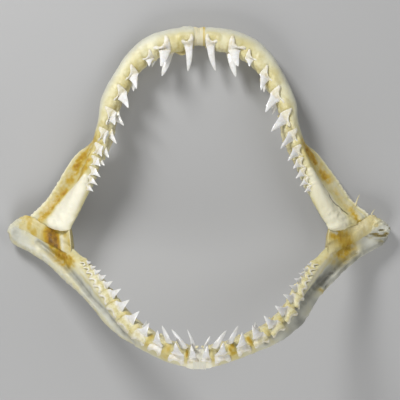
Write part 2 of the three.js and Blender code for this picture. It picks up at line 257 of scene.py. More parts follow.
def skin(points, marks, cap="fan"):
    """The closed surface through rings of points. A flat, lens-like end is closed by a strip."""
    rings, around = points.shape[:2]
    r, k = np.meshgrid(np.arange(rings - 1), np.arange(around), indexing="ij")
    a = r * around + k
    b = r * around + (k + 1) % around
    quads = [np.stack([a, b, b + around, a + around], -1).reshape(-1, 4)]
    vertices = [points.reshape(-1, 3)]
    flat_marks = [marks.reshape(-1, 4)]
    triangles = np.zeros((0, 3), int)
    for ring, last in ((0, False), (rings - 1, True)):
        start = ring * around
        if cap == "strip":
            k = np.arange(0, around // 2)
            strip = np.stack([start + k, start + k + 1, start + (around - k - 1) % around,
                              start + (around - k) % around], -1)
            middle = strip[1:-1]
            ends = strip[[0, -1], :3]
            ends[1] = start + around // 2 + np.array([-1, 0, 1])
            quads.append(middle if last else middle[:, ::-1])
            triangles = np.vstack([triangles, ends if last else ends[:, ::-1]])
        else:
            hub = rings * around + len(vertices) - 1
            vertices.append(points[ring].mean(axis=0)[None])
            flat_marks.append(marks[ring].mean(axis=0)[None])
            k = np.arange(around)
            fan = np.stack([np.full(around, hub), start + k, start + (k + 1) % around], -1)
            triangles = np.vstack([triangles, fan if last else fan[:, ::-1]])
    return Shape(np.vstack(vertices), np.vstack(quads), triangles, np.vstack(flat_marks))


def joined(shapes):
    starts = np.cumsum([0] + [len(shape.vertices) for shape in shapes])
    return Shape(np.vstack([shape.vertices for shape in shapes]),
                 np.vstack([shape.quads + start for shape, start in zip(shapes, starts)]),
                 np.vstack([shape.triangles + start for shape, start in zip(shapes, starts)]),
                 np.vstack([shape.marks for shape in shapes]))


def piece(name, shape, material, node=None):
    mesh = bpy.data.meshes.new(name)
    faces = shape.quads.tolist() + shape.triangles.tolist()
    mesh.from_pydata((shape.vertices * MM).tolist(), [], faces)
    mesh.polygons.foreach_set("use_smooth", [True] * len(mesh.polygons))
    layer = mesh.color_attributes.new(name="marks", type="FLOAT_COLOR", domain="POINT")
    layer.data.foreach_set("color", np.clip(shape.marks, 0, 1).astype(np.float32).ravel())
    mesh.materials.append(material)
    mesh.update()
    made = bpy.data.objects.new(name, mesh)
    scene.collection.objects.link(made)
    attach(made, "root")
    if node:
        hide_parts(node)


def outward_normals(points):
    along = np.gradient(points, axis=0)
    around = np.roll(points, -1, axis=1) - np.roll(points, 1, axis=1)
    normal = unit(np.cross(around, along))
    outward = points - points.mean(axis=1, keepdims=True)
    return normal if (normal * outward).sum() > 0 else -normal


# ---materials
# Nearly black: painted shade in cracks, creases, hollows, holes and between fibres, and a dark stain in
# the joints' pits.
SHADE_AND_DARK_STAIN = (0.03, 0.02, 0.01)


class Paint:
    """Short forms for the nodes of one material."""

    def __init__(self, name):
        self.material = bpy.data.materials.new(name)
        self.material.use_nodes = True
        self.nodes = self.material.node_tree.nodes
        self.links = self.material.node_tree.links
        self.shader = self.nodes["Principled BSDF"]
        layer = self.nodes.new("ShaderNodeAttribute")
        layer.attribute_name = "marks"
        split = self.nodes.new("ShaderNodeSeparateColor")
        self.links.new(layer.outputs["Color"], split.inputs["Color"])
        self.marks = [*split.outputs[:3], layer.outputs["Alpha"]]

    def noise(self, scale, detail=4.0, roughness=0.55):
        where = self.nodes.new("ShaderNodeTexCoord")
        texture = self.nodes.new("ShaderNodeTexNoise")
        texture.inputs["Scale"].default_value = scale
        texture.inputs["Detail"].default_value = detail
        texture.inputs["Roughness"].default_value = roughness
        self.links.new(where.outputs["Object"], texture.inputs["Vector"])
        return texture.outputs["Fac"]

    def ramp(self, factor, stops):
        made = self.nodes.new("ShaderNodeValToRGB")
        elements = made.color_ramp.elements
        while len(elements) < len(stops):
            elements.new(0.5)
        for element, (place, colour) in zip(elements, stops):
            element.position = place
            element.color = (*colour, 1)
        self.links.new(factor, made.inputs["Fac"])
        return made.outputs["Color"]

    def mix(self, factor, a, b):
        made = self.nodes.new("ShaderNodeMix")
        made.data_type = "RGBA"
        self.links.new(factor, made.inputs["Factor"])
        for value, socket in zip((a, b), [s for s in made.inputs if s.type == "RGBA"]):
            if isinstance(value, tuple):
                socket.default_value = (*value, 1)
            else:
                self.links.new(value, socket)
        return [s for s in made.outputs if s.type == "RGBA"][0]

    def times(self, a, b):
        made = self.nodes.new("ShaderNodeMath")
        made.operation = "MULTIPLY"
        made.use_clamp = True
        for socket, value in zip(made.inputs, (a, b)):
            if isinstance(value, float):
                socket.default_value = value
            else:
                self.links.new(value, socket)
        return made.outputs[0]

    def between(self, factor, low, high, start=0.0, end=1.0):
        made = self.nodes.new("ShaderNodeMapRange")
        for name, value in (("From Min", start), ("From Max", end), ("To Min", low), ("To Max", high)):
            made.inputs[name].default_value = value
        self.links.new(factor, made.inputs["Value"])
        return made.outputs[0]

    def stained(self, base, stain, texture):
        """Dried stains are yellow where they are thin, then orange and brown."""
        thick = self.times(stain, self.between(texture, 0.75, 1.25, 0.32, 0.68))
        colours = self.ramp(thick, [(0.10, (0.62, 0.52, 0.15)), (0.42, (0.52, 0.35, 0.03)),
                                    (0.70, (0.40, 0.21, 0.008)), (1.0, (0.15, 0.07, 0.004))])
        return self.mix(self.between(thick, 0.0, 1.0, 0.0, 0.45), base, colours)

    def bumps(self, layers):
        last = None
        for factor, distance, strength in layers:
            made = self.nodes.new("ShaderNodeBump")
            made.inputs["Distance"].default_value = distance
            made.inputs["Strength"].default_value = strength
            self.links.new(factor, made.inputs["Height"])
            if last is not None:
                self.links.new(last, made.inputs["Normal"])
            last = made.outputs["Normal"]
        self.links.new(last, self.shader.inputs["Normal"])

    def finish(self, colour, roughness, specular, subsurface):
        self.links.new(colour, self.shader.inputs["Base Color"])
        self.links.new(roughness, self.shader.inputs["Roughness"])
        self.shader.inputs["Specular IOR Level"].default_value = specular
        self.shader.inputs["Subsurface Weight"].default_value = subsurface
        self.shader.inputs["Subsurface Radius"].default_value = (0.003, 0.0022, 0.0012)
        self.shader.inputs["Subsurface Scale"].default_value = 1.0
        return self.material


def middle(a, b):
    return tuple((x + y) / 2 for x, y in zip(a, b))


def cartilage_material():
    """Its marks are stain, tone (from pale over plain to grey), gum and dark, which is painted shade in
    the crack, creases, hollow and holes.
    """
    paint = Paint("cartilage")
    stain, tone, gum, dark = paint.marks
    broad = paint.noise(38, 3)
    mid = paint.noise(170, 5, 0.6)
    fine = paint.noise(1100, 3)
    cream = (0.62, 0.56, 0.28)
    pale = (0.75, 0.72, 0.50)
    base = paint.ramp(broad, [(0.38, cream), (0.5, middle(cream, pale)), (0.62, pale)])
    base = paint.mix(paint.between(mid, 0.4, 0.0, 0.34, 0.54), base, (0.55, 0.47, 0.18))
    base = paint.mix(paint.between(tone, 1.0, 0.0, 0.0, 0.5), base, (0.86, 0.83, 0.68))
    base = paint.mix(paint.between(tone, 0.0, 1.0, 0.5, 0.75), base, (0.56, 0.56, 0.48))
    # The darkest grey is painted shade on the lower jaw's folds, and on the right lower half's outer face
    # partly its own grey and partly painted shade.
    base = paint.mix(paint.between(tone, 0.0, 1.0, 0.75, 1.0), base, (0.24, 0.24, 0.21))
    gums = paint.ramp(mid, [(0.36, (0.48, 0.38, 0.10)), (0.5, (0.63, 0.53, 0.22)),
                            (0.66, (0.74, 0.67, 0.38))])
    base = paint.mix(gum, base, gums)
    base = paint.stained(base, stain, mid)
    # painted shade: where the dark mark is set, the crack, creases, hollow and holes turn nearly black
    base = paint.mix(dark, base, SHADE_AND_DARK_STAIN)
    paint.bumps([(mid, 0.0005, 0.5), (fine, 0.0002, 0.6)])
    return paint.finish(base, paint.between(mid, 0.32, 0.62, 0.3, 0.7), 0.5, 0.08)


def tooth_material():
    """Its marks are root, grey, gum and the line where the enamel ends."""
    paint = Paint("tooth_enamel")
    root, grey, gum, line = paint.marks
    mid = paint.noise(260, 4, 0.6)
    fine = paint.noise(1500, 2)
    enamel = paint.ramp(mid, [(0.36, (0.74, 0.72, 0.67)), (0.6, (0.83, 0.83, 0.82))])
    enamel = paint.mix(grey, enamel, (0.45, 0.46, 0.45))
    bone = paint.ramp(mid, [(0.34, (0.68, 0.62, 0.45)), (0.5, (0.79, 0.75, 0.64)),
                            (0.64, (0.83, 0.81, 0.75))])
    base = paint.mix(root, enamel, bone)
    gums = paint.ramp(mid, [(0.4, (0.60, 0.53, 0.24)), (0.6, (0.74, 0.69, 0.43))])
    base = paint.mix(gum, base, gums)
    base = paint.mix(line, base, (0.50, 0.41, 0.26))
    paint.bumps([(paint.times(fine, root), 0.0005, 0.5)])
    return paint.finish(base, paint.between(root, 0.16, 0.5), 0.6, 0.06)


def tissue_material(name, pale, deep):
    """Its marks are stain, grey, nothing and dark, which is a dark stain in the joints' pits and painted
    shade in the grooves between the symphysis fibres.
    """
    paint = Paint(name)
    stain, grey, _, dark = paint.marks
    mid = paint.noise(150, 6, 0.65)
    fine = paint.noise(900, 3)
    base = paint.ramp(mid, [(0.3, deep), (0.52, middle(deep, pale)), (0.7, pale)])
    base = paint.mix(grey, base, (0.74, 0.72, 0.60))
    base = paint.stained(base, stain, mid)
    # the dark mark: a dark stain in the pits, and painted shade between the symphysis fibres
    base = paint.mix(dark, base, SHADE_AND_DARK_STAIN)
    paint.bumps([(mid, 0.0008, 0.6), (fine, 0.0002, 0.5)])
    return paint.finish(base, paint.between(mid, 0.38, 0.65, 0.3, 0.7), 0.5, 0.10)


CARTILAGE = cartilage_material()
TOOTH = tooth_material()
TISSUE = tissue_material("dried_tissue", (0.70, 0.64, 0.41), (0.55, 0.46, 0.22))
STRIP = tissue_material("symphysis_tissue", (0.70, 0.66, 0.45), (0.56, 0.48, 0.25))


# ---a half jaw
CURVE_SAMPLES = 1201
TANGENT_STEP = 1e-3
CAP_STOP = 0.3  # the part of a ring's step that the last ring stays short of the tip


class HalfJaw:
    """One side of a jaw, or of a jaw joint's tissue, as smooth curves through its stations."""

    def __init__(self, stations, side, spread):
        s = np.array(stations, float)
        moved = np.array(spread, float)
        self.side = side
        self.count = len(s)
        self.tooth_edge = np.stack([side * (s[:, 0] + moved), s[:, 1] - CENTRE_Y, s[:, 2]], 1)
        self.far_edge = np.stack([side * (s[:, 3] + moved), s[:, 4] - CENTRE_Y, s[:, 5]], 1)
        self.labial = s[:, 6:9]
        self.lingual = s[:, 9:12]
        self.ts = np.linspace(0, 1, CURVE_SAMPLES)
        line = curve_at(self.tooth_edge, self.ts)
        steps = np.linalg.norm(np.diff(line, axis=0), axis=1)
        self.run = np.concatenate([[0], np.cumsum(steps)])

    def t_at(self, distance):
        return float(np.interp(distance, self.run, self.ts))

    def frames(self, t):
        """The tooth edge, the directions across, along and out of the labial face, and the width."""
        t = np.atleast_1d(np.asarray(t, float))
        origin = curve_at(self.tooth_edge, t)
        across = curve_at(self.far_edge, t) - origin
        width = np.linalg.norm(across, axis=1)
        across = unit(across)
        low = np.maximum(0, t - TANGENT_STEP)
        high = np.minimum(1, t + TANGENT_STEP)
        along = unit(curve_at(self.tooth_edge, high) + curve_at(self.far_edge, high)
                     - curve_at(self.tooth_edge, low) - curve_at(self.far_edge, low))
        out = unit(np.cross(along, across))
        out = np.where(out[:, 2:3] < 0, -out, out)
        return origin, across, along, out, width

    def sections(self, t, width):
        """The closed section at each place, as distances from the tooth edge and heights."""
        zero = np.zeros((len(t), 1))
        places = np.array([0, *LABIAL_PLACES, 1, *LINGUAL_PLACES[::-1]]) * width[:, None]
        heights = np.hstack([zero, curve_at(self.labial, t), zero, -curve_at(self.lingual, t)[:, ::-1]])
        return np.einsum("kc,rcd->rkd", LOOP, np.stack([places, heights], -1))

    def labial_height(self, t, a):
        """Height of the labial face at a from the tooth edge."""
        section = self.sections(np.array([float(t)]), self.frames(t)[4])[0, :AROUND // 2 + 1]
        section = section[np.argmin(section[:, 0]):]
        return np.interp(a, np.maximum.accumulate(section[:, 0]), section[:, 1])

    def lingual_depth(self, t, a):
        width = self.frames(t)[4][0]
        depths = curve_at(self.lingual, np.array([float(t)]))[0]
        return float(np.interp(a / width, [0, *LINGUAL_PLACES, 1], [0, *depths, 0]))

    def grid(self):
        """Rings of points from the symphysis to the rounded end, and where each of them lies."""
        t = np.linspace(0, 1, (self.count - 1) * RINGS_PER_STATION + 1)
        angle = np.arange(1, CAP_RINGS + 1) / (CAP_RINGS + CAP_STOP) * (math.pi / 2)
        shrink = np.concatenate([np.ones(len(t)), np.cos(angle)])
        push = np.concatenate([np.zeros(len(t)), CAP_DEPTH * np.sin(angle)])
        t = np.concatenate([t, np.ones(CAP_RINGS)])
        origin, across, along, out, width = self.frames(t)
        section = self.sections(t, width)
        half_width = width[:, None] / 2
        a = half_width + (section[..., 0] - half_width) * shrink[:, None]
        h = section[..., 1] * shrink[:, None]
        points = (origin[:, None] + across[:, None] * a[..., None] + out[:, None] * h[..., None]
                  + along[:, None] * push[:, None, None])
        whole = np.zeros_like(a)
        distance = np.interp(t, self.ts, self.run) + push
        turn = np.arange(AROUND) / AROUND
        # above 0 on the labial half of a ring, and below 0 on the lingual half
        upwards = np.where(turn <= 0.5, np.minimum(turn, 0.5 - turn), -np.minimum(turn - 0.5, 1 - turn))
        return dict(points=points, t=t[:, None] + whole, a=a, h=h, share=a / width[:, None],
                    distance=distance[:, None] + whole, labial=smooth(upwards, -0.01, 0.03) + whole)


# ---cartilages
# Marks on the labial faces, each a line in plan, its half width and its strength.
STAINS = {
    "upper_left": [([(-99, 50), (-107, 36), (-115, 24), (-124, 10), (-137, -8), (-146, -20)], 9.0, 0.38),
                   ([(-109, 36), (-114, 29), (-118, 22)], 4.0, 0.6),
                   ([(-104, 30), (-108, 22), (-112, 10)], 4.0, 0.58),
                   ([(-126, 3), (-134, -8), (-143, -19), (-149, -26)], 4.0, 0.55)],
    "upper_right": [([(98, 47), (104, 36), (112, 24), (122, 12)], 6.5, 0.4),
                    ([(102, 40), (106, 34), (110, 28)], 4.0, 0.65),
                    ([(115, 20), (119, 14)], 3.5, 0.58),
                    ([(120, 14), (132, -4), (143, -18)], 6.0, 0.25),
                    ([(143, -16), (148, -25), (152, -31)], 4.5, 0.42)],
    "lower_left": [([(-139, -42), (-136, -50), (-131, -58), (-121, -64)], 7.0, 0.64),
                   ([(-155, -47), (-130, -69), (-112, -88)], 2.5, 0.14)],
    "lower_right": [([(128, -42), (137, -44), (140, -50), (132, -56)], 9.0, 0.52),
                    ([(118, -60), (124, -64)], 5.0, 0.25),
                    ([(110, -89), (113, -91)], 2.2, 0.34)],
}
CRACK = ([(116, 7), (118, 2), (124, -9), (131, -14), (139, -20)], 0.5)
PLATES = {  # the smooth swelling beside the jaw joint, its half widths, height and paleness
    "upper_left": ([(-106, 14), (-112, 2), (-122, -12), (-131, -28)], (3, 6.5, 9.5, 11), 1.7, 0.95),
    "upper_right": ([(103, 20), (110, 6), (117, -9), (128, -28)], (3, 6, 9, 11.5), 1.4, 0.6),
}
VALLEYS = {  # the hollow between the plate and the outer rim, its half width and its depth
    "upper_left": ([(-99, 48), (-106, 36), (-114, 24), (-126, 4), (-143, -18)], 4.5, 1.6),
    "upper_right": ([(100, 44), (108, 30), (120, 13), (136, -9), (147, -24)], 4.0, 1.4),
}
CREASES = {  # the long fold of the lower jaw's labial face, its half width and its depth
    "lower_left": ([(-152, -47), (-130, -63), (-111, -82), (-98, -97), (-86, -108), (-70, -125),
                    (-60, -134)], 2.2, 2.6),
    "lower_right": ([(147, -56), (133, -66), (121, -75), (109, -84), (100, -92), (88, -106), (75, -121),
                     (61, -133)], 2.6, 3.0),
}
HOLLOW = ([(111, -81), (121, -90)], 3.2, 2.2)
NOTCH = ([(66, -140), (76, -133)], 2.5, 1.4)
PITS = {  # the stained pits at the jaw joints, the stain around them and the pale tongues beside them
    "joint_left": dict(line=[(-139, -39), (-136, -50), (-130, -60)], radius=8.0, depth=1.6, stain=0.95,
                       dark=0.35, around=0.12, tongue=[(-129, -42), (-126, -52)]),
    "joint_right": dict(line=[(126, -38), (136, -43), (141, -49)], radius=9.0, depth=0.8, stain=0.54,
                        dark=0.1, around=0.04, tongue=[(122, -35), (128, -38)]),
}
TOOTH_COVERS = {  # where the gum still covers a front tooth's root
    "upper_left": ([(-17, 146), (-9, 146)], 3.6),
    "upper_right": ([(10, 147), (17, 146)], 3.4),
}
RAGGED_BUMP = ([(-15, 157), (-9, 157)], 2.6, 1.0)
SOCKET_DEPTH = 0.8
TOOTHED_LENGTH = {"upper": 185.0, "lower": 162.0}


def between_teeth(distance, teeth):
    """0 at the middle of a working tooth and 1 halfway to the next."""
    best = np.full(distance.shape, 9.0)
    for tooth in teeth:
        best = np.minimum(best, np.abs(distance - tooth[0]) / (tooth[2] / 2))
    return smooth(best, 0.65, 1.15)


class Surface:
    """A cartilage while it is shaped: its places, how far each is raised, and its marks."""

    def __init__(self, half, part, working):
        g = half.grid()
        self.p, self.t, self.a, self.share = g["points"], g["t"], g["a"], g["share"]
        self.distance, self.labial = g["distance"], g["labial"]
        self.inner = np.exp(-((self.a / 6.0) ** 2))
        self.rim = np.exp(-(((self.share - 0.97) / 0.06) ** 2))
        self.gap = between_teeth(self.distance, working)
        self.toothed = 1 - smooth(self.distance, TOOTHED_LENGTH[part] - 6, TOOTHED_LENGTH[part] + 6)
        self.lumps = 0.45 * self.rough(15) + 0.25 * self.rough(6, 3.1) + 0.13 * self.rough(2.4, 7.7)
        self.grey = self.labial * smooth(self.share, 0.45, 0.9) * 0.45 + (1 - self.labial) * 0.3
        self.stain, self.pale, self.gum, self.dark = np.zeros((4, *self.a.shape))

    def rough(self, size, shift=0.0):
        return noise(self.p, size, shift)

    def near(self, line, radius):
        """1 on the labial face at a line given in plan, falling to 0 about radius away."""
        return near_line(self.p, line, radius) * self.labial

    def add(self, mark, strength):
        setattr(self, mark, np.maximum(getattr(self, mark), strength))


def add_gum(jaw, part):
    """The gum along the tooth edge, which stands up between the teeth and is hollow before them."""
    bulge = 1.1 - 0.9 * smooth(jaw.distance, 80, 125)
    gum_lumps = 0.6 * np.abs(jaw.rough(3.2, 5.5)) + bulge * jaw.gap - 0.3
    jaw.lumps += jaw.labial * jaw.inner * jaw.toothed * gum_lumps
    reach = 4.5 - 2.0 * smooth(jaw.distance, 80, 140)
    socket = SOCKET_DEPTH * np.exp(-(((jaw.a - reach) / reach) ** 2))
    jaw.lumps -= socket * (1 - jaw.gap) * jaw.labial * jaw.toothed
    front = 1 - smooth(jaw.distance, 60, 110)
    lower = part == "lower"
    gum_reach = np.exp(-((jaw.a / (7.5 + (8.0 * front if lower else 0.0))) ** 2))
    jaw.gum = jaw.labial * jaw.toothed * gum_reach * (0.15 + (0.7 if lower else 0.5) * jaw.gap)
    if lower:
        jaw.stain = jaw.labial * gum_reach * jaw.gap * (0.38 + 0.3 * jaw.rough(4, 6.6))
        jaw.stain *= smooth(jaw.distance, 0, 8) * (1 - 0.8 * smooth(jaw.distance, 35, 65))
        jaw.stain *= 1 - smooth(jaw.distance, 80, 110)


def add_stains(jaw, key):
    for line, radius, strength in STAINS[key]:
        patch = jaw.near(line, radius) * strength
        jaw.add("stain", patch * (0.95 + 0.35 * jaw.rough(2.6, 4.4)))
        jaw.lumps += 0.35 * patch * jaw.rough(1.5, 9.1)


def shape_upper(jaw, key):
    """The plate and the valley beside it, the gum on the front roots, and the pale outer rim."""
    line, radii, height, paleness = PLATES[key]
    near = jaw.near(line, radii)
    jaw.lumps += height * smooth(near, 0.0, 0.9)
    plate = smooth(near + 0.08 * jaw.rough(5, 5.1), 0.12, 0.62)
    jaw.pale = paleness * plate
    jaw.grey *= 1 - plate
    jaw.gum *= 1 - 0.7 * plate
    jaw.stain *= 1 - 0.9 * plate
    line, radius, depth = VALLEYS[key]
    jaw.lumps -= depth * jaw.near(line, radius) * (1 - plate)
    cover = jaw.near(*TOOTH_COVERS[key])
    jaw.lumps += 0.9 * smooth(cover, 0.0, 0.9)
    jaw.add("gum", 0.35 * cover)
    jaw.add("stain", 0.12 * np.exp(-(((cover - 0.35) / 0.15) ** 2)) * jaw.labial)
    if key == "upper_left":
        line, radius, height = RAGGED_BUMP
        jaw.lumps += height * near_line(jaw.p, line, radius) * (1 + jaw.rough(1.6, 4.0))
    else:
        wander = np.stack([jaw.rough(5, 1.1), jaw.rough(5, 2.1), 0 * jaw.a], -1) * 0.8
        crack = near_line(jaw.p + wander, *CRACK) * jaw.labial
        # painted shade: the crack is darkened to nearly black
        jaw.add("dark", crack)
        jaw.lumps -= 0.8 * crack
    rim = jaw.rim * smooth(jaw.t, 0.64, 0.72)
    jaw.lumps += rim * (0.7 * jaw.rough(1.8, 3.3) * smooth(jaw.t, 0.7, 0.9) + 1.1)
    jaw.grey *= 1 - rim
    jaw.add("pale", 0.75 * rim)
    jaw.stain *= 1 - 0.7 * rim


def shape_lower(jaw, key):
    """The pale inner strip, the fold with painted shade along it, the grey outer strip, partly painted
    shade on the right half, and the knob at the joint.
    """
    behind_front = smooth(jaw.t, 0.1, 0.35)
    knob = smooth(jaw.t, 0.76, 0.88)
    inner_strip = jaw.labial * smooth(jaw.a, 5, 11) * behind_front * (1 - knob)
    jaw.pale = 0.8 * inner_strip * (1 + 0.5 * jaw.rough(6, 3.6))
    jaw.pale *= 1 - 0.9 * smooth(jaw.share, 0.25, 0.5)
    jaw.add("grey", 0.4 * knob * (0.8 + 0.8 * jaw.rough(5, 4.2)))
    line, radius, depth = CREASES[key]
    crease = jaw.near(line, radius) * smooth(jaw.t, 0.12, 0.3)
    jaw.lumps -= depth * crease
    # painted shade: the bottom of the fold is darkened
    jaw.add("dark", 0.25 * crease * (0.8 + jaw.rough(5)))
    # painted shade: a grey band along the fold stands in for the groove's shadow
    fold = jaw.near(line, 5.0) * behind_front
    outer = jaw.labial * smooth(jaw.share, 0.2, 0.55) * (0.15 + 0.85 * behind_front)
    if key == "lower_left":
        jaw.add("grey", 0.45 * outer * (1.0 + 0.6 * jaw.rough(8, 2.7)))
        # the fold's grey is painted shade
        jaw.add("grey", 0.75 * fold)
        edge = jaw.labial * smooth(jaw.share, 0.75, 0.95) * behind_front
        jaw.add("stain", 0.16 * edge * (0.6 + jaw.rough(4, 1.6)))
    else:
        # on this half the outer face's grey is partly its own colour and partly painted shade, and the
        # fold's grey is painted shade
        jaw.add("grey", 0.75 * outer * (1.0 + 0.5 * jaw.rough(8, 2.7)))
        jaw.add("grey", 0.85 * fold * (1.0 + 0.3 * jaw.rough(3, 2.7)))
    # the front of the far edge is worn back behind the roots, and pale at the symphysis
    worn = smooth(jaw.distance, 7, 14) * (1 - smooth(jaw.distance, 45, 70))
    jaw.lumps -= 1.6 * smooth(jaw.share, 0.7, 0.98) * worn
    corner = jaw.labial * (1 - smooth(jaw.distance, 9, 17)) * smooth(jaw.share, 0.3, 0.6)
    jaw.add("pale", corner)
    jaw.grey *= 1 - corner
    jaw.lumps -= 2.2 * jaw.near(PITS[key.replace("lower", "joint")]["line"], 6.0)
    # streaks of fibre along the far edge, and the rough skin left on the knob
    jaw.lumps += 0.5 * jaw.labial * smooth(jaw.share, 0.7, 0.95) * jaw.rough(2.2, 8.8)
    knob_top = smooth(jaw.t, 0.84, 0.95) * np.exp(-((jaw.share / 0.28) ** 2))
    jaw.lumps += 0.9 * knob_top * jaw.rough(2.0, 6.1)
    jaw.add("stain", 0.22 * knob_top * (1 + jaw.rough(2.5, 1.4)))
    jaw.grey *= 1 - 0.5 * knob_top


def shape_lower_right(jaw):
    """The hollow and the notch of this half, and the holes in the dried skin on its knob, with painted
    shade in the hollow and the holes.
    """
    line, radius, depth = HOLLOW
    hollow = jaw.near(line, radius)
    jaw.lumps -= depth * hollow
    # painted shade darkens the hollow
    jaw.add("dark", 0.4 * hollow * (0.7 + jaw.rough(3, 5.3)))
    line, radius, depth = NOTCH
    jaw.lumps -= depth * near_line(jaw.p, line, radius) * jaw.rim * (0.5 + jaw.rough(2.0))
    strands = smooth(noise(jaw.p * np.array([1, 2.4, 1]), 4.5, 6.0), -0.1, 0.6)
    holes = smooth(jaw.t, 0.86, 0.95) * jaw.labial * strands * smooth(jaw.share, 0.2, 0.4)
    jaw.lumps -= 2.2 * holes
    jaw.add("stain", 0.35 * holes)
    # painted shade darkens the holes
    jaw.add("dark", 0.5 * holes)


def add_inner_membrane(jaw):
    """The dried membrane over the replacement teeth, and the gum between it and the tooth edge."""
    lingual = 1 - jaw.labial
    cover = lingual * smooth(jaw.a, 3, 7) * (1 - smooth(jaw.share, 0.7, 0.95)) * jaw.toothed
    jaw.lumps += cover * (0.9 + 0.8 * (1 - jaw.gap) * np.exp(-(((jaw.a - 9) / 5.0) ** 2)))
    fringe = lingual * jaw.inner * jaw.toothed
    jaw.lumps += fringe * (1.0 + 0.8 * jaw.gap + 0.7 * jaw.rough(2.8, 3.9))
    jaw.add("gum", 0.6 * cover + 0.7 * fringe)
    jaw.gum *= 0.85 + 0.4 * jaw.rough(3.0, 8.0)


def cartilage(part, key, half, working, node):
    jaw = Surface(half, part, working)
    add_gum(jaw, part)
    jaw.lumps += smooth(jaw.t, 0.86, 1.0) * (0.7 * jaw.rough(4, 1.3) + 0.35 * jaw.rough(1.7, 2.2))
    add_stains(jaw, key)
    if part == "upper":
        shape_upper(jaw, key)
    else:
        shape_lower(jaw, key)
    if key == "lower_right":
        shape_lower_right(jaw)
    add_inner_membrane(jaw)
    moved = jaw.p + outward_normals(jaw.p) * jaw.lumps[..., None]
    moved[..., 2] = np.maximum(moved[..., 2], 0.0)
    marks = np.stack([jaw.stain, 0.5 + 0.5 * (jaw.grey - jaw.pale), jaw.gum, jaw.dark], -1)
    # it ends in a flat face beside the symphysis, so the rings wholly past that face are left out
    cut = HALF_SYMPHYSIS + SYMPHYSIS_CLEARANCE
    from_midline = half.side * moved[..., 0]
    first = max(0, int((from_midline < cut).all(axis=1).sum()) - 1)
    moved[..., 0] = half.side * np.maximum(from_midline, cut)
    piece("cartilage_" + key, skin(moved[first:], marks[first:]), CARTILAGE, node)


# ---teeth
LEVELS = np.array([-1, -0.94, -0.85, -0.7, -0.5, -0.3, -0.14, -0.04, 0.02, 0.07, 0.13, 0.2, 0.3, 0.4,
                   0.5, 0.6, 0.7, 0.78, 0.86, 0.92, 0.97, 1.0])
PROFILE_PLACES = [-1, -0.85, -0.5, -0.2, 0, 0.08, 0.2, 0.4, 0.6, 0.8, 0.92, 1]
BROAD = [0.86, 1.06, 1.07, 1.03, 1.0, 0.84, 0.64, 0.46, 0.33, 0.20, 0.11, 0.03]
SLENDER = [0.64, 0.92, 0.97, 0.90, 0.82, 0.70, 0.62, 0.55, 0.46, 0.32, 0.20, 0.04]
THICKNESS = [(-1, 0.12), (-0.85, 0.7), (-0.5, 1.15), (0, 1.0), (0.2, 0.86), (0.5, 0.64), (0.8, 0.42),
             (1, 0.08)]
TOOTH_POINTS = 24
THETA = np.arange(TOOTH_POINTS) / TOOTH_POINTS * 2 * math.pi


def tooth(place, height, root_width, bend, sweep, root, lobe_lengths, grey=0.0, gummed=0.0, collar=0.0):
    """One tooth from the two lobes of its root, nearer the symphysis and the joint, to its tip. Its
    collar is how much gum is left between the crown and the lobes."""
    base, up, sideways, face = place
    root_dir, root_out, root_along, surface = root
    slender = np.clip((height / root_width - 1.15) / 0.6, 0, 1)
    s = np.cos(THETA)[None]
    q = LEVELS[:, None] + 0 * s
    front = np.sin(THETA)[None] > 0
    profile = np.interp(LEVELS, PROFILE_PLACES, BROAD) * (1 - slender)
    profile += np.interp(LEVELS, PROFILE_PLACES, SLENDER) * slender
    x = profile[:, None] * root_width / 2 * s
    thick = 1.0 + 0.06 * root_width + 0.09 * height
    thick *= line_at(THICKNESS, LEVELS)[:, None]
    bulge = np.interp(LEVELS, [-1, -0.5, 0, 0.15], [1.1, 1.35, 1.15, 1.0])[:, None]
    rise = np.abs(np.sin(THETA))[None] ** np.interp(LEVELS, [-0.1, 0.1], [1.0, 1.6])[:, None]
    y = np.where(front, 0.42 * thick * rise, -0.72 * thick * bulge * rise)
    joint_side = smooth(s, -0.5, 0.5)
    length = lobe_lengths[0] + (lobe_lengths[1] - lobe_lengths[0]) * joint_side
    lobes = length * root_width * (1 - 0.5 * (1 - smooth(np.abs(s), 0.15, 0.95)))
    below = np.maximum(0, -q)
    x = x * (1 + 0.9 * below * (1 - length / max(lobe_lengths)))
    lift = surface(below * lobes) * smooth(below, 0, 0.2)
    above = np.maximum(0, q)
    arc = np.sin(math.pi * above) * height
    turn = np.clip(below * 2.5, 0, 1)[..., None]
    side_dir = unit(sideways + (root_along - sideways) * turn)
    face_dir = unit(face + (root_out - face) * turn)
    points = (base + up * (above * height)[..., None] + face * (bend * arc)[..., None]
              - sideways * (sweep * arc)[..., None] + root_dir * (below * lobes)[..., None]
              + root_out * lift[..., None] + side_dir * x[..., None] + face_dir * y[..., None])
    # the enamel ends in a shallow arch on each face
    edge = -0.02 + 0.10 * (1 - np.abs(s)) * np.where(front, 1.0, 0.6)
    is_root = 1 - smooth(q, edge - 0.015, edge + 0.03)
    line = np.exp(-(((q - edge) / 0.025) ** 2)) * 0.25
    gum = smooth(below, 0.75, 1.0) * 0.3 + gummed * (1 - smooth(q, -0.1, 0.3))
    gum = gum + collar * smooth(below, 0.02, 0.14) * (1 - smooth(below, 0.42, 0.68))
    points = points + face_dir * (0.14 * noise(points, 1.6, 2.0) * is_root)[..., None]
    points[..., 2] = np.maximum(points[..., 2], 0.05)
    marks = np.stack([is_root, grey + 0 * is_root, gum, line], -1)
    return skin(points, marks, "strip")


ROOT_RISE = 0.5
FIRST_TOOTH = 10.0  # the first lower tooth stands nearer to the symphysis than this
SIDE_TEETH = (35.0, 65.0)  # the distances between which front teeth turn into side teeth
UNUSED_GREY = 0.12
RISING_GUM = 0.55


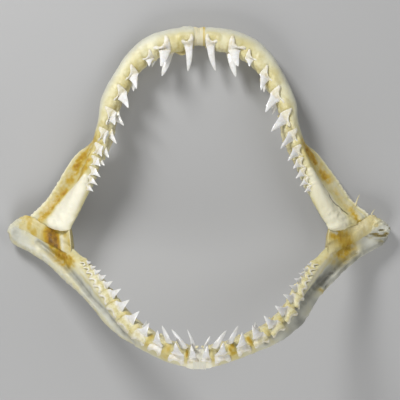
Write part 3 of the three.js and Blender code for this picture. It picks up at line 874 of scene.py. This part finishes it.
def standing_tooth(half, spec, row, rooted):
    """A tooth that stands on the tooth edge, with its root on the labial face if it is a working one."""
    distance, height, root_width, outwards, backwards = spec
    t = half.t_at(distance)
    origin, across, along, out, _ = (v[0] for v in half.frames(t))
    share = min(1.0, 2 * t)
    inset, above = (row[k][0] + (row[k][1] - row[k][0]) * share for k in ("inset", "height"))
    lean = math.radians(outwards)
    back = math.radians(backwards)
    up = -across * math.cos(lean) + out * math.sin(lean)
    up = unit(up * math.cos(back) + along * math.sin(back))
    face = unit(out - up * (out @ up))
    sideways = along - up * (along @ up)
    sideways = unit(sideways - face * (sideways @ face))
    place = (origin + across * inset + out * above, up, sideways, face)
    if not rooted:
        root = (-up, face, sideways, np.zeros_like)
        return tooth(place, height, root_width, row["bend"], row["sweep"], root, row["lobes"],
                     UNUSED_GREY, RISING_GUM)
    root = (across, out, along, lambda reach: half.labial_height(t, inset + reach) + ROOT_RISE - above)
    side_tooth = float(smooth(distance, *SIDE_TEETH))
    first = distance < FIRST_TOOTH and "first_lobes" in row
    lobes = [v * (1 - side_tooth * row["shorter"]) for v in row["first_lobes" if first else "lobes"]]
    return tooth(place, height, root_width, row["bend"], row["sweep"], root, lobes,
                 collar=side_tooth * row["collar"])


LYING_PLACES = (4.5, 9.0, 13.0)  # how far from the tooth edge each row of replacement teeth lies
LYING_DEPTHS = (0.7, 0.5, 0.2)
TIP_LIFTS = (2.6, 1.8, 1.2)
LYING_LOBES = (0.3, 0.3)
LYING_WIDTH = 22.0  # the width of jaw that has room for those places
LYING_REACH = 0.82  # how far across the jaw their tips may lie, as a share of its width
LYING_HEIGHT = 0.85  # the share of the working crown's height that they have
LYING_BEND = 0.04
LYING_SWEEP = 0.03
LYING_GUM = 0.6
SMALLEST_LYING = 4.0
LOWEST_LYING = 2.5
LYING_SEEDS = {-1: 49, 1: 53}  # for the small differences on each side


def lying_tooth(half, spec, order, random):
    """A replacement tooth that lies along the lingual face, with its tip away from the tooth edge."""
    distance, height, root_width, _, backwards = spec
    t = half.t_at(distance + random.uniform(-0.8, 0.8))
    origin, across, along, out, width = (v[0] for v in half.frames(t))
    a = LYING_PLACES[order] * min(1.0, width / LYING_WIDTH)
    whole = LYING_HEIGHT * max(height, 0.9 * root_width)
    reach = min(whole, LYING_REACH * width - a)
    if reach < SMALLEST_LYING:
        return None
    start = half.lingual_depth(t, a) + LYING_DEPTHS[order]
    end = half.lingual_depth(t, a + reach) + TIP_LIFTS[order]
    back = math.radians(0.5 * backwards + random.uniform(-4, 4))
    up = unit(across * reach - out * (end - start))
    up = unit(up * math.cos(back) + along * math.sin(back))
    face = unit(-out + up * (out @ up))
    sideways = unit(along - up * (along @ up))
    base = origin + across * a - out * start
    if min(base[2], (base + up * reach)[2]) < LOWEST_LYING:
        return None
    wide = root_width * max(0.7, reach / whole)
    root = (-up, face, sideways, np.zeros_like)
    return tooth((base, up, sideways, face), reach, wide, LYING_BEND, LYING_SWEEP, root, LYING_LOBES,
                 UNUSED_GREY, LYING_GUM)


def teeth(part, key, half, rows):
    random = np.random.RandomState(LYING_SEEDS[half.side])
    made = []
    for number, row in enumerate(ROWS[part]):
        for spec in rows[number]:
            made.append(standing_tooth(half, spec, row, number == 0))
    for number, spec in enumerate(rows[0]):
        first = 1 if number + 1 in RISING_TEETH[key]["behind"] else 0
        for order in range(first, len(LYING_PLACES)):
            one = lying_tooth(half, spec, order, random)
            if one is not None:
                made.append(one)
    piece("teeth_" + key, joined(made), TOOTH)


# ---dried tissue
# Beside the jaw's own section, the strip's size; then the strength of its seam, streaks and white.
SYMPHYSES = {
    "upper": dict(size=0.95, seam=0.45, streaks=0.15, whiter=0.25),
    "lower": dict(size=0.985, seam=0.0, streaks=0.0, whiter=1.0),
}
STRIP_OVERLAP = 0.7
STRIP_RINGS = 41
SEAM_X = 4.2


def symphysis(part, half, node):
    looks = SYMPHYSES[part]
    section = half.grid()["points"][0]
    centre = section.mean(axis=0)
    section = centre + (section - centre) * looks["size"]
    xs = np.linspace(-HALF_SYMPHYSIS - STRIP_OVERLAP, HALF_SYMPHYSIS + STRIP_OVERLAP, STRIP_RINGS)
    p = np.repeat(section[None], len(xs), axis=0)
    p[..., 0] = xs[:, None]
    fibres = noise(p * np.array([1.0, 0.12, 0.12]), 0.9, 2.0)
    dip = 0.5 * np.exp(-((xs / 3.0) ** 2))[:, None]
    lumps = 0.35 * fibres + 0.4 * noise(p, 5, 1.0) - dip
    moved = p + outward_normals(p) * lumps[..., None]
    moved[..., 2] = np.maximum(moved[..., 2], 0.0)
    moved[..., 0] = p[..., 0]
    seam = looks["seam"] * np.exp(-(((xs - SEAM_X) / 0.7) ** 2))[:, None]
    stain = seam + looks["streaks"] * smooth(fibres, 0.2, 0.8)
    # the last mark is painted shade in the grooves between the fibres
    marks = np.stack([stain, looks["whiter"] + 0 * stain, 0 * stain, 0.1 * smooth(-fibres, 0.3, 0.9)], -1)
    piece(part + "_symphysis_fibres", skin(moved, marks), STRIP, node)


TONGUE_RADIUS = 2.0
EDGE_REACH = 4.0
EDGE_THICKNESS = 1.2
EDGE_SEARCH = 2.0  # how near the lower jaw's face has to be, in plan


def joint(key, half, jaw, node):
    g = half.grid()
    p = g["points"]
    looks = PITS[key]
    pit = near_line(p, looks["line"], looks["radius"])
    tongue = near_line(p, looks["tongue"], TONGUE_RADIUS)
    rough = 1 - 0.75 * pit
    lumps = (0.5 * noise(p, 7) + 0.3 * noise(p, 2.6, 3.0) + 0.15 * noise(p, 1.2, 5.0)) * rough + 0.5
    lumps += 0.6 * tongue - looks["depth"] * pit
    # it laps over the edge of the lower jaw
    lumps += 1.2 * smooth(g["share"], 0.5, 1.0) * g["labial"] * (1 - 0.7 * pit)
    fibres = noise(p * np.array([1.0, 0.25, 0.3]), 1.5, 4.0)
    around = looks["around"] * (1 + 2 * smooth(noise(p, 5, 2.0), 0.0, 0.6))
    stain = np.maximum(around, pit * (looks["stain"] + 0.1 * fibres))
    stain *= 1 - 0.8 * tongue
    dark = pit * looks["dark"] * (0.5 + noise(p, 1.6, 4.0))
    moved = p + outward_normals(p) * lumps[..., None]
    # towards the lower jaw it thins out and lies on that jaw's face
    edge = smooth(g["share"], 0.62, 1.0) * g["labial"]
    across = half.frames(g["t"][:, 0])[1]
    moved = moved + across[:, None] * (EDGE_REACH * edge)[..., None]
    tree = KDTree(int((jaw["labial"] > 0.5).sum()))
    face = jaw["points"][jaw["labial"] > 0.5]
    for number, (x, y, _) in enumerate(face):
        tree.insert((x, y, 0), number)
    tree.balance()
    for ring, place in zip(*np.nonzero(edge > 0.02)):
        x, y, z = moved[ring, place]
        _, number, away = tree.find((x, y, 0))
        if away < EDGE_SEARCH:
            level = face[number, 2] + EDGE_THICKNESS * (1 - edge[ring, place])
            moved[ring, place, 2] = z + (level - z) * edge[ring, place]
    marks = np.stack([stain, 0.8 * tongue, 0 * stain, dark], -1)
    piece("tissue_" + key, skin(moved, marks), TISSUE, node)


STRAND_RINGS = 28
STRAND_POINTS = 10


def strand(name, half, line, lifts, radius):
    """A thin dried fibre that stands off the labial face, above places given in plan."""
    g = half.grid()
    near = g["points"][g["h"] > 0.3]
    places = []
    for (x, y), lift in zip(line, lifts):
        under = near[np.argmin(np.linalg.norm(near[:, :2] - (x, y), axis=1))]
        places.append([x, y, under[2] + lift])
    t = np.linspace(0, 1, STRAND_RINGS)
    path = curve_at(np.array(places, float), t)
    tangent = unit(np.gradient(path, axis=0))
    side = unit(np.cross(tangent, np.array([0.3, 0.2, 1.0])))
    other = np.cross(tangent, side)
    r = (radius * (1 - 0.8 * t) * (1 + 0.25 * noise(path, 1.5)))[:, None, None]
    angle = (np.arange(STRAND_POINTS) / STRAND_POINTS * 2 * math.pi)[None, :, None]
    rings = path[:, None] + (side[:, None] * np.cos(angle) + 0.7 * other[:, None] * np.sin(angle)) * r
    marks = np.zeros((*rings.shape[:2], 4)) + np.array([0.15, 0.6, 0.0, 0.0])
    piece(name, skin(rings, marks), TISSUE)


# ---the jaws
STATIONS = {"upper": UPPER_STATIONS, "lower": LOWER_STATIONS, "joint": JOINT_STATIONS}
halves = {}
for side_name, side in (("left", -1), ("right", 1)):
    for part, stations in STATIONS.items():
        key = part + "_" + side_name
        halves[key] = HalfJaw(stations, side, SPREAD.get(key, 0))
    for part in ("upper", "lower"):
        key = part + "_" + side_name
        rows = tooth_rows(part, key)
        cartilage(part, key, halves[key], rows[0], part + "_jaw_" + side_name)
        teeth(part, key, halves[key], rows)
    joint("joint_" + side_name, halves["joint_" + side_name], halves["lower_" + side_name].grid(),
          "jaw_joint_" + side_name)
symphysis("upper", halves["upper_left"], "upper_symphysis")
symphysis("lower", halves["lower_left"], "lower_symphysis")

strand("wisp_plate", halves["upper_right"], [(147, -13), (149, -7), (151, -2)], (0.5, 3, 5), 1.1)
strand("wisp_knob", halves["lower_right"], [(163, -26), (162, -21), (165, -16)], (0.5, 2, 3), 0.9)
strand("strand_corner", halves["joint_left"], [(-122, -31), (-121, -38), (-120, -45), (-119, -52)],
       (1.0, 1.5, 1.5, 1.0), 0.9)


def membrane():
    """The thin skin left between the first two upper teeth of the left side."""
    half = halves["upper_left"]
    start, end = 9, 24  # as distances from the symphysis
    rooted = 2.0  # how far it starts inside the tooth edge
    thickness = 0.44
    level = -2.5
    ring_count, point_count = 30, 24
    t = np.array([half.t_at(d) for d in np.linspace(start, end, ring_count)])
    origin, across, _, out, _ = half.frames(t)
    bow = np.sin(np.linspace(0, math.pi, ring_count))
    depth = 1.0 + 4.5 * bow  # how far the skin reaches past the tooth edge
    angle = np.arange(point_count) / point_count * 2 * math.pi
    reach = rooted - (0.5 - 0.5 * np.cos(angle))[None] * (rooted + depth)[:, None]
    thin = thickness / 2 * np.sin(angle)[None] * np.ones_like(reach) + level
    rings = origin[:, None] + across[:, None] * reach[..., None] + out[:, None] * thin[..., None]
    rings = rings + out[:, None] * (0.5 * noise(rings, 3.0, 1.9))[..., None]
    marks = np.zeros((*rings.shape[:2], 4)) + np.array([0.2, 0.2, 0.0, 0.0])
    piece("membrane", skin(rings, marks), TISSUE)


membrane()

# ---floor, light and camera
# Sizes and places are in metres from here on.
HALF_FLOOR = 3.0
FLOOR_LEVEL = -0.0002
FLOOR_GREY = 0.42
WORLD_STRENGTH = 0.15
corners = [(x * HALF_FLOOR, y * HALF_FLOOR, 0) for x, y in ((-1, -1), (1, -1), (1, 1), (-1, 1))]
floor_mesh = bpy.data.meshes.new("floor")
floor_mesh.from_pydata(corners, [], [(0, 1, 2, 3)])
floor = bpy.data.objects.new("floor", floor_mesh)
floor.location.z = FLOOR_LEVEL
pale_floor = bpy.data.materials.new("floor")
pale_floor.use_nodes = True
floor_shader = pale_floor.node_tree.nodes["Principled BSDF"]
floor_shader.inputs["Base Color"].default_value = (FLOOR_GREY, FLOOR_GREY, FLOOR_GREY, 1)
floor_shader.inputs["Roughness"].default_value = 0.9
floor_mesh.materials.append(pale_floor)
scene.collection.objects.link(floor)


def area_light(name, place, size, power):
    """A square light that faces the origin, with its power in watts."""
    light = bpy.data.lights.new(name, "AREA")
    light.energy = power
    light.size = size
    made = bpy.data.objects.new(name, light)
    made.location = place
    toward = -np.array(place)
    made.rotation_euler = (math.acos(-toward[2] / np.linalg.norm(toward)), 0,
                           math.atan2(toward[1], toward[0]) - math.pi / 2)
    scene.collection.objects.link(made)


area_light("key", (-0.6, 0.9, 0.8), 0.4, 15)
area_light("fill", (0.9, 0.1, 1.0), 0.9, 4.5)
area_light("low", (-0.3, -1.2, 0.8), 0.8, 12)
world = bpy.data.worlds.new("studio")
world.use_nodes = True
world.node_tree.nodes["Background"].inputs["Color"].default_value = (1.0, 1.0, 1.0, 1)
world.node_tree.nodes["Background"].inputs["Strength"].default_value = WORLD_STRENGTH
scene.world = world
# Plain sRGB, so that the colours of the materials are those of the object.
scene.view_settings.view_transform = "Standard"

# The camera looks straight down, with the photo's upper edge towards +Y.
CAMERA_X = 0.0005
CAMERA_HEIGHT = 1.5
FOCAL_PIXELS = 1574.5
IMAGE_PIXELS = 400
SENSOR = 36.0  # in millimetres, as Blender takes it
camera_data = bpy.data.cameras.new("camera")
camera_data.sensor_width = SENSOR
camera_data.lens = SENSOR * FOCAL_PIXELS / IMAGE_PIXELS
camera = bpy.data.objects.new("camera", camera_data)
camera.location = (CAMERA_X, -CENTRE_Y * MM, CAMERA_HEIGHT)
scene.collection.objects.link(camera)
scene.camera = camera
